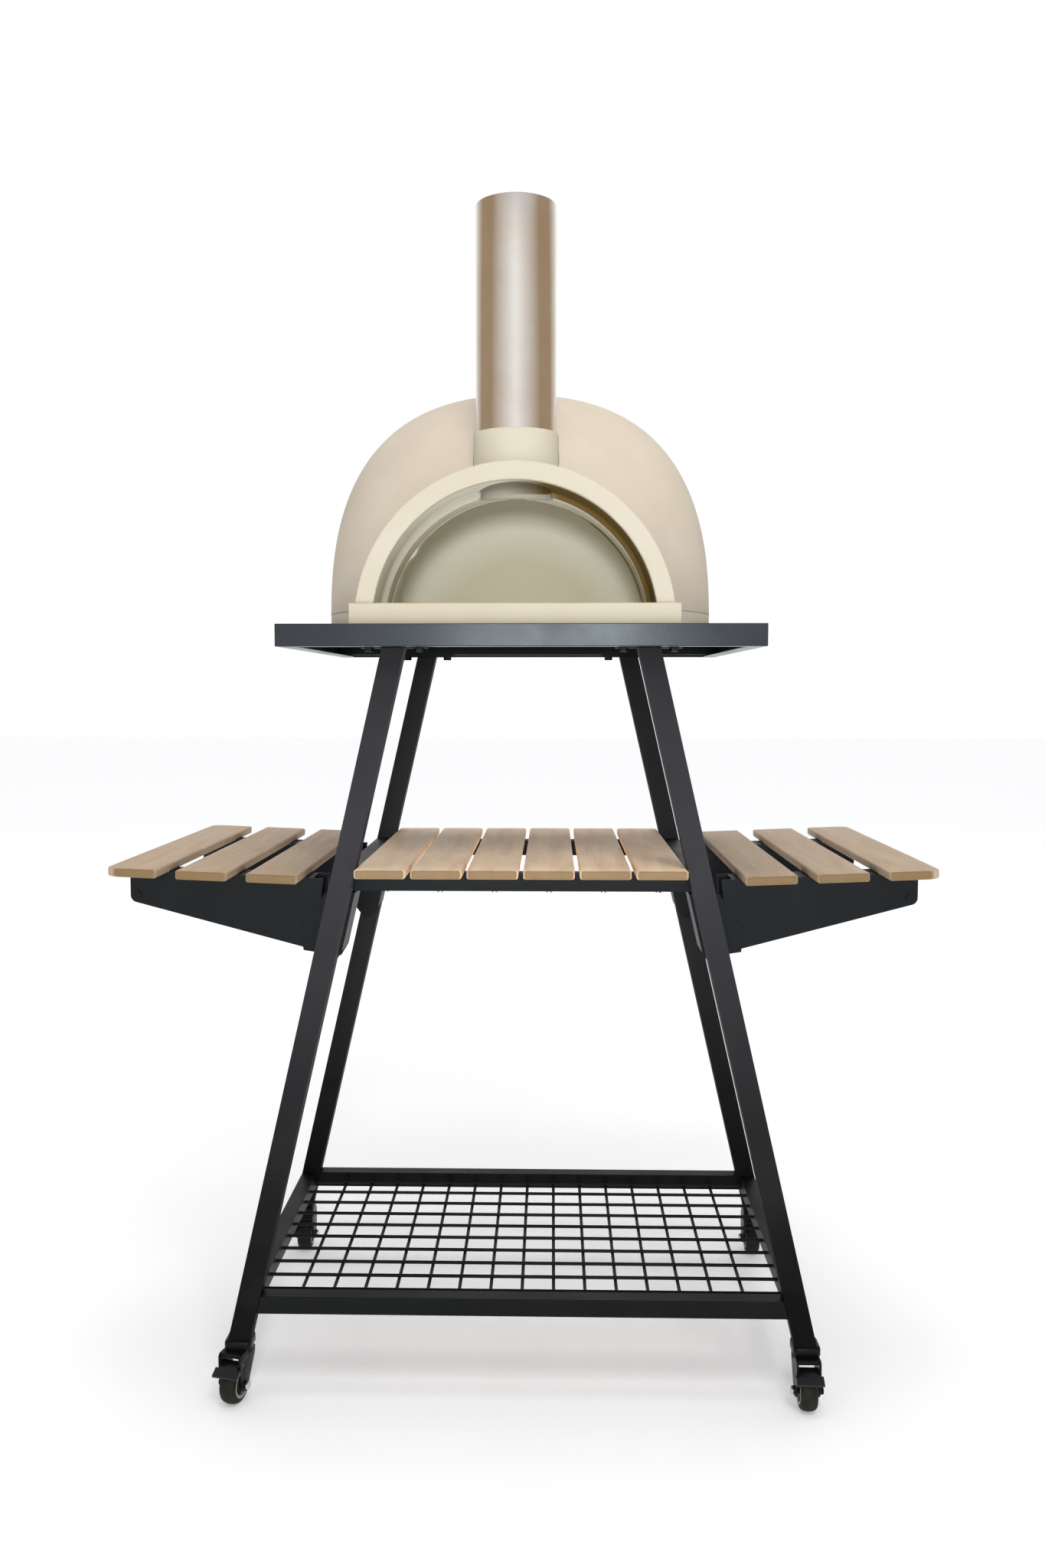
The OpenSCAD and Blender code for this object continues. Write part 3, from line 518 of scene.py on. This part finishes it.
slotLooks = {"cream_render": renderMaterial, "arch_cast": castMaterial, "refractory": insideMaterial,
             "firebrick": tileMaterial, "fibre_board": fibreMaterial, "polished_stainless": stainless,
             "charcoal_coat": deckCoat, "black_coat": blackCoat, "zinc_steel": zinc, "timber": midTimberPaintedLight,
             "caster_black": casterBlack, "tyre_rubber": rubber}
darkFixings = ("caster_stems", "hinge_pins", "latch_pins", "bracket_bolts", "deck_bolts",
               "wing_screws_left", "wing_screws_right")
for part in frame["record"]["subparts"]:
    look = slotLooks[part["material_slot"]]
    if part["node"] in darkFixings or part["node"].startswith("latch_"):
        look = blackCoat
    if part["node"].startswith("leg_"):
        look = legCoatPaintedShade
    if part["node"].startswith(("mid_rail", "lower_rail")):
        look = blackCoat
    dress(frame["nodes"][part["node"]], look)
slotOf = {part["node"]: part["material_slot"] for part in frame["record"]["subparts"]}
bodyOf = {node: body for body, nodes in frame["record"]["behaviour"]["bodies"].items() for node in nodes}
print("materials ready")

domeShape = {"halfWidth": 0.289, "halfDepth": 0.251, "spring": deckTop + 0.004,
             "top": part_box("outer_dome")[1].z, "power": 2.6, "shell": 0.012, "rows": 40, "sides": 160,
             "archRadius": 0.2153, "archBack": -0.060,
             "flueRadius": 0.055, "collarCut": 0.0588, "pipeCut": 0.0555, "cutFoot": 1.2}


def domeProfile(shape, inset, foot):
    rise = shape["top"] - shape["spring"] - inset
    p = 2 / shape["power"]
    points = [(shape["halfWidth"] - inset, 0, foot)]
    for i in range(shape["rows"] + 1):
        u = (pi / 2) * (i / shape["rows"]) ** 1.15
        radius = max(0.0, (shape["halfWidth"] - inset) * cos(u) ** p) if i < shape["rows"] else 0.0
        points.append((radius, 0, shape["spring"] + rise * sin(u) ** p))
    return points


def buildDome():
    s = domeShape
    low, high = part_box("outer_dome")
    centre = Vector(((low.x + high.x) / 2, high.y - s["halfDepth"], 0))
    profile = [point for point in domeProfile(s, 0.0, low.z + 0.0002) if point[2] >= low.z]
    shell = lathe("domeShell", profile, (0, 0, 0), (0, 0, 1), s["sides"])
    focus(shell)
    bpy.ops.object.mode_set(mode="EDIT")
    bpy.ops.mesh.select_all(action="SELECT")
    bpy.ops.transform.resize(value=(1, s["halfDepth"] / s["halfWidth"], 1), center_override=(0, 0, 0))
    bpy.ops.transform.translate(value=centre)
    bpy.ops.object.mode_set(mode="OBJECT")
    useModifier(shell, "SOLIDIFY", thickness=s["shell"], offset=-1)
    archFront = (centre.x, -0.4, deckTop)
    cutWith(shell, addRod("archTool", archFront, (centre.x, s["archBack"], deckTop), s["archRadius"], 256))
    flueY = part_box("flue_pipe")[0].y + s["flueRadius"]
    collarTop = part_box("front_arch")[1].z + 0.0003
    for name, radius, top in (("collarTool", s["collarCut"], collarTop), ("pipeTool", s["pipeCut"], 1.5)):
        cutWith(shell, addRod(name, (centre.x, flueY, s["cutFoot"]), (centre.x, flueY, top), radius, 128))
    smooth(shell, 40)
    show(shell, bodyOf["outer_dome"], renderMaterial, slotOf["outer_dome"], "outer_dome")


buildDome()
print("dome built")


def buildLining():
    lining = castOf("inner_dome", "ovenLining")
    smooth(lining, 50)
    show(lining, bodyOf["inner_dome"], insideMaterial, slotOf["inner_dome"], "inner_dome")


buildLining()

castSetup = {"grain": 0.0022, "softening": 3}


def softCast(node, name, material, grain):
    piece = castOf(node, name)
    useModifier(piece, "REMESH", mode="VOXEL", voxel_size=grain, adaptivity=0.0)
    useModifier(piece, "SMOOTH", factor=0.5, iterations=castSetup["softening"])
    focus(piece)
    bpy.ops.object.shade_smooth()
    show(piece, bodyOf[node], material, slotOf[node], node)


softCast("front_arch", "frontArch", castMaterial, castSetup["grain"])
print("arch cast")


def softBlock(node, name, material, width, segments=3):
    piece = castOf(node, name)
    roundEdges(piece, width, segments)
    smooth(piece, 40)
    show(piece, bodyOf[node], material, slotOf[node], node)


softBlock("sill", "sillLedge", castMaterial, 0.0022)
softBlock("base_slab", "baseRim", renderMaterial, 0.0010, 2)
softBlock("hearth_tiles", "hearthFloor", tileMaterial, 0.0008, 2)
print("sill and base rounded")

flueSetup = {"wall": 0.0015, "bead": 0.0008, "seamWidth": 0.0035}


def buildFlue():
    low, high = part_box("flue_pipe")
    x, y = (low.x + high.x) / 2, (low.y + high.y) / 2
    outer = (high.x - low.x) / 2
    wall, bead = flueSetup["wall"], flueSetup["bead"]
    profile = [(x + outer - wall, y, low.z), (x + outer, y, low.z), (x + outer, y, high.z - bead),
               (x + outer - bead * 0.4, y, high.z), (x + outer - wall + bead * 0.4, y, high.z),
               (x + outer - wall, y, high.z - bead), (x + outer - wall, y, low.z)]
    pipe = lathe("fluePipe", profile, (x, y, 0), (0, 0, 1), 128)
    smooth(pipe, 40)
    show(pipe, bodyOf["flue_pipe"], stainless, slotOf["flue_pipe"], "flue_pipe")
    # the pipe's long weld, at the back
    seam = addBlock("flueSeam", (x - flueSetup["seamWidth"] / 2, y + outer - 0.0006, low.z + 0.045),
                    (x + flueSetup["seamWidth"] / 2, y + outer + 0.0004, high.z - 0.001))
    roundEdges(seam, 0.0004, 2)
    smooth(seam)
    show(seam, bodyOf["flue_pipe"], stainless, slotOf["flue_pipe"])


buildFlue()
print("flue built")

steelEdges = {"deck_tray": 0.0016, "deck_frame": 0.0012}
for corner in corners:
    steelEdges["leg_" + corner] = 0.0022
    steelEdges["channel_" + corner] = 0.0008
    steelEdges["arm_" + corner] = 0.0008
for side in ("left", "right", "front", "rear"):
    steelEdges["mid_rail_" + side] = 0.0018
    steelEdges["lower_rail_" + side] = 0.0018


def buildSteel():
    for node, width in steelEdges.items():
        piece = castOf(node, node + "_steel")
        roundEdges(piece, width, 2, 50)
        smooth(piece, 50)
        useModifier(piece, "WEIGHTED_NORMAL", mode="FACE_AREA", weight=100, keep_sharp=True)
        show(piece, bodyOf[node], frame["nodes"][node].data.materials[0], slotOf[node], node)


buildSteel()
print("steel frame softened")

slatSetup = {"width": 0.069, "pitch": 0.076, "count": 6, "edge": 0.0026, "segments": 4, "corner": 0.005,
             "outerCorner": 0.020}


def addSlat(name, low, high, outerCorner):
    slat = addBlock(name, low, high)
    for x, radius in ((low[0], slatSetup["corner"]), (high[0], outerCorner)):
        pickEdges(slat, lambda a, b: abs(a.x - x) < 1e-4 and abs(b.x - x) < 1e-4 and abs(a.z - b.z) > 1e-3)
        bpy.ops.mesh.bevel(offset=radius, segments=8, affect="EDGES")
        bpy.ops.object.mode_set(mode="OBJECT")
    roundEdges(slat, slatSetup["edge"], slatSetup["segments"], 30)
    smooth(slat, 30)
    return slat


def buildMidSlats():
    low, high = midBox
    width, count = slatSetup["width"], slatSetup["count"]
    slats = []
    for i in range(count):
        x = low.x + i * slatSetup["pitch"]
        slats.append(addSlat("midSlat", (x, low.y, low.z), (x + width, high.y, high.z), slatSetup["corner"]))
    deck = joined("middleSlats", slats)
    show(deck, bodyOf["mid_slats"], midTimberPaintedLight, slotOf["mid_slats"], "mid_slats")


wingSetup = {"tilt": 2.26, "pitch": 0.095, "width": 0.069, "thickness": 0.012,
             "base": (0.334, midBox[0].z - 0.005)}


def buildWingSlats():
    s = wingSetup
    low, high = wingBox
    slats = []
    for k in range(3):
        x = k * s["pitch"] - s["width"] / 2
        slats.append(addSlat("wingSlat", (x, low.y, 0), (x + s["width"], high.y, s["thickness"]),
                             slatSetup["outerCorner"] if k == 2 else slatSetup["corner"]))
    right = joined("wingSlatsRight", slats)
    tilt = Matrix.Rotation(-radians(s["tilt"]), 4, "Y")
    right.matrix_world = Matrix.Translation((s["base"][0], 0, s["base"][1])) @ tilt
    settle(right)
    left = named(copied(right, Matrix.Scale(-1, 4, (1, 0, 0))), "wingSlatsLeft")
    show(right, bodyOf["wing_slats_right"], wingTimberPaintedShade, slotOf["wing_slats_right"], "wing_slats_right")
    show(left, bodyOf["wing_slats_left"], wingTimberPaintedShade, slotOf["wing_slats_left"], "wing_slats_left")


buildMidSlats()
buildWingSlats()
print("slats laid")

casterSetup = {"boot": 0.038, "bootLow": 0.0745, "bootHigh": 0.0875, "head": 0.0186, "tread": 0.0119,
               "hub": 0.0095, "rim": 0.0185, "spokes": 5, "nutSeat": 0.0190, "nutHeight": 0.0034,
               "nutRadius": 0.0062, "bootCorner": 0.0075, "bootShoulder": 0.0045}


# Wheel along X about the origin: a crowned tyre, a dished plastic disc and a grey rim ring
def addWheel():
    s = casterSetup
    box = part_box("wheel_rear_left")
    radius, half = (box[1].z - box[0].z) / 2, s["tread"]
    tyre = [(-half, 0, s["rim"])]
    for i in range(17):
        turn = pi * i / 16
        bulge = 1 if abs(turn - pi / 2) < 0.01 else sin(turn) ** 0.62
        tyre.append((-half * cos(turn), 0, radius - 0.0085 + 0.0085 * bulge))
    tyre += [(half, 0, s["rim"]), (half - 0.003, 0, s["rim"] - 0.0004), (-half + 0.003, 0, s["rim"] - 0.0004),
             (-half, 0, s["rim"])]
    tread = lathe("wheelTyre", tyre, (0, 0, 0), (1, 0, 0), 64)
    disc = []
    for side in (-1, 1):
        disc += [(side * x, 0, z) for x, z in
                 ((half - 0.0004, 0.0043), (half - 0.0004, s["hub"] - 0.001), (half - 0.0014, s["hub"]),
                  (half - 0.0042, s["hub"] + 0.0012), (half - 0.0042, s["rim"] - 0.0004))][::side]
    core = lathe("wheelCore", disc + [disc[0]], (0, 0, 0), (1, 0, 0), 48)
    rings = []
    for side in (-1, 1):
        ring = [(side * x, 0, z) for x, z in
                ((half - 0.0045, s["rim"] - 0.0040), (half - 0.0002, s["rim"] - 0.0036),
                 (half + 0.0004, s["rim"] - 0.0026), (half + 0.0004, s["rim"] - 0.0002),
                 (half - 0.0045, s["rim"] - 0.0002))]
        rings.append(lathe("wheelRing", ring + [ring[0]], (0, 0, 0), (1, 0, 0), 64))
    spokes = []
    for i in range(s["spokes"]):
        for side in (-1, 1):
            spoke = addBlock("wheelSpoke", (side * (half - 0.0032) - 0.0012, -0.0012, s["hub"] - 0.001),
                             (side * (half - 0.0032) + 0.0012, 0.0012, s["rim"] - 0.0030))
            roundEdges(spoke, 0.0005, 2)
            spokes.append(copied(spoke, Matrix.Rotation(2 * pi * i / s["spokes"], 4, "X")))
            bpy.data.objects.remove(spoke)
    return {"Tyre": (tread, rubber, "tyre_rubber"),
            "Core": (joined("wheelCore", [core] + spokes), casterBlack, "caster_black"),
            "Ring": (joined("wheelRings", rings), rimGrey, "zinc_steel")}


def buildCasters():
    s = casterSetup
    spin = {joint["child"]: joint for joint in frame["record"]["behaviour"]["joints"]}
    wheel = addWheel()
    for corner, (sideX, _) in corners.items():
        axis = Vector(spin["caster_wheel_" + corner]["axis"])
        turn = atan2(axis.y, axis.x)
        low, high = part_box("wheel_" + corner)
        place = Matrix.Translation((low + high) / 2) @ Matrix.Rotation(turn, 4, "Z")
        for kind, (shape, material, slot) in wheel.items():
            twin = named(copied(shape, place), "caster" + kind + "_" + corner)
            smooth(twin, 40)
            stoodFor = ["wheel_" + corner] if kind == "Tyre" else []
            show(twin, bodyOf["wheel_" + corner], material, slot, *stoodFor)

        fork = castOf("fork_" + corner, "casterFork_" + corner)
        roundEdges(fork, 0.0011, 3, 45)
        smooth(fork, 40)
        show(fork, bodyOf["fork_" + corner], casterBlack, slotOf["fork_" + corner], "fork_" + corner)

        # swivel head and the square boot over the leg's foot
        stem = Vector(spin["caster_" + corner]["pos_m"])
        head = [(stem.x + r, stem.y, z) for r, z in
                ((0.0062, 0.0640), (s["head"] - 0.001, 0.0640), (s["head"], 0.0655), (s["head"], 0.0680),
                 (s["head"] - 0.0006, 0.0686), (s["head"], 0.0692), (s["head"], 0.0720),
                 (s["head"] - 0.0018, 0.0742), (0.0062, 0.0742))]
        race = lathe("casterHead_" + corner, head + [head[0]], (stem.x, stem.y, 0), (0, 0, 1), 48)
        smooth(race, 40)
        show(race, bodyOf["fork_" + corner], casterBlack, "caster_black")
        half = s["boot"] / 2
        boot = addBlock("legBoot_" + corner, (stem.x - half, stem.y - half, s["bootLow"]),
                        (stem.x + half, stem.y + half, s["bootHigh"]))
        pickEdges(boot, lambda a, b: abs(a.z - b.z) > 1e-3)
        bpy.ops.mesh.bevel(offset=s["bootCorner"], segments=6, affect="EDGES")
        bpy.ops.object.mode_set(mode="OBJECT")
        pickEdges(boot, lambda a, b: min(a.z, b.z) > s["bootHigh"] - 1e-4)
        bpy.ops.mesh.bevel(offset=s["bootShoulder"], segments=4, affect="EDGES")
        bpy.ops.object.mode_set(mode="OBJECT")
        roundEdges(boot, 0.0008, 2)
        smooth(boot, 40)
        show(boot, "trolley", casterBlack, "caster_black")

        # axle nuts: plated on the inner side
        for side in (-1, 1):
            outward = side * sideX > 0
            base = (low + high) / 2 + axis * side * s["nutSeat"]
            nut = addRod("axleNut_" + corner, base, base + axis * side * s["nutHeight"], s["nutRadius"], 6)
            roundEdges(nut, 0.0006, 2, 30)
            smooth(nut, 30)
            named(nut, "axleNut_" + corner + ("_outer" if outward else "_inner"))
            show(nut, bodyOf["fork_" + corner], casterBlack if outward else zinc, "zinc_steel")
    for shape, material, slot in wheel.values():
        bpy.data.objects.remove(shape)
    for corner in ("front_left", "front_right"):
        pedal = castOf("brake_" + corner, "brakePedal_" + corner)
        roundEdges(pedal, 0.0006, 3, 35)
        smooth(pedal, 40)
        show(pedal, bodyOf["brake_" + corner], pedalBlack, slotOf["brake_" + corner], "brake_" + corner)


buildCasters()
print("casters fitted")


# A white studio for the polished pipe to mirror: a window ahead of it, and a brown board on either side
studio = {"floor": (0.93, 0.93, 0.93), "floorGlow": 0.50, "ambient": (0.50, 0.505, 0.52),
          "mirrorFoot": (-0.12, -0.04), "mirrorHead": (0.75, 0.60), "window": (1.0, 1.0, 1.0),
          "board": (0.40, 0.30, 0.20), "wall": (0.95, 0.95, 0.95),
          "boardNear": (5, 75), "boardFar": (115, 160)}


def buildStudio():
    deselectAll()
    bpy.ops.mesh.primitive_plane_add(size=1, location=(0, 6, 0))
    floor = named(bpy.context.object, "studioFloor")
    floor.scale = (40, 40, 1)
    settle(floor)
    r = Recipe("studioFloor")
    grain = r.noise(2.0, 2.0)
    x, y = r.axis("X"), r.axis("Y")
    far = r.spread((x * x + y * y) ** 0.5, 0.6, 4.0)
    speckled = r.tint(grain, studio["floor"], tuple(c * 0.99 for c in studio["floor"]))
    dress(floor, r.finish({"Base Color": speckled, "Roughness": 0.9, "Specular IOR Level": 0.1,
                           "Emission Strength": studio["floorGlow"],
                           "Emission Color": r.tint(far, (0.35, 0.35, 0.35), (1, 1, 1))}))
    r = Recipe("whiteStudio", bpy.data.worlds)
    bpy.context.scene.world = r.material
    x, y, z = r.axis("X"), r.axis("Y"), r.axis("Z")
    turn = r.add("ShaderNodeMath", {"operation": "ARCTAN2"}, {0: x, 1: 0.0 - y})
    aside = r.add("ShaderNodeMath", {"operation": "ABSOLUTE"}, {0: turn, 1: 0.0})
    near, far = ([radians(angle) for angle in studio[edge]] for edge in ("boardNear", "boardFar"))
    panels = r.tint(r.spread(aside, *near), studio["window"], studio["board"])
    panels = r.tint(r.spread(aside, *far), panels, studio["wall"])
    band = r.spread(z, *studio["mirrorFoot"]) * r.spread(z, *studio["mirrorHead"])
    rays = r.tree.nodes.new("ShaderNodeLightPath").outputs
    glossy, seen = Wire(r, rays["Is Glossy Ray"]), Wire(r, rays["Is Camera Ray"])
    sky = r.tint(band * glossy, studio["ambient"], panels)
    r.finish({"Color": r.tint(seen, sky, (1, 1, 1)), "Strength": 1.0},
             "ShaderNodeBackground", "ShaderNodeOutputWorld")


def addLamp(name, place, target, size, power, mirrored=False):
    deselectAll()
    bpy.ops.object.light_add(type="AREA", location=place)
    lamp = bpy.context.object
    lamp.name = name
    lamp.rotation_euler = (Vector(target) - Vector(place)).to_track_quat("-Z", "Y").to_euler()
    lamp.data.shape = "RECTANGLE"
    lamp.data.size, lamp.data.size_y = size
    lamp.data.energy = power
    lamp.visible_glossy = mirrored


buildStudio()
addLamp("mouthLight", (0.05, -4.0, 1.12), (0, 0, 1.12), (0.5, 0.4), 70, True)
addLamp("keyLight", (0.7, -2.6, 3.6), (0, 0, 1.15), (1.2, 1.2), 42)
addLamp("topLight", (0, 0.3, 3.6), (0, 0, 0.8), (2.4, 2.4), 45)
print("studio lit")
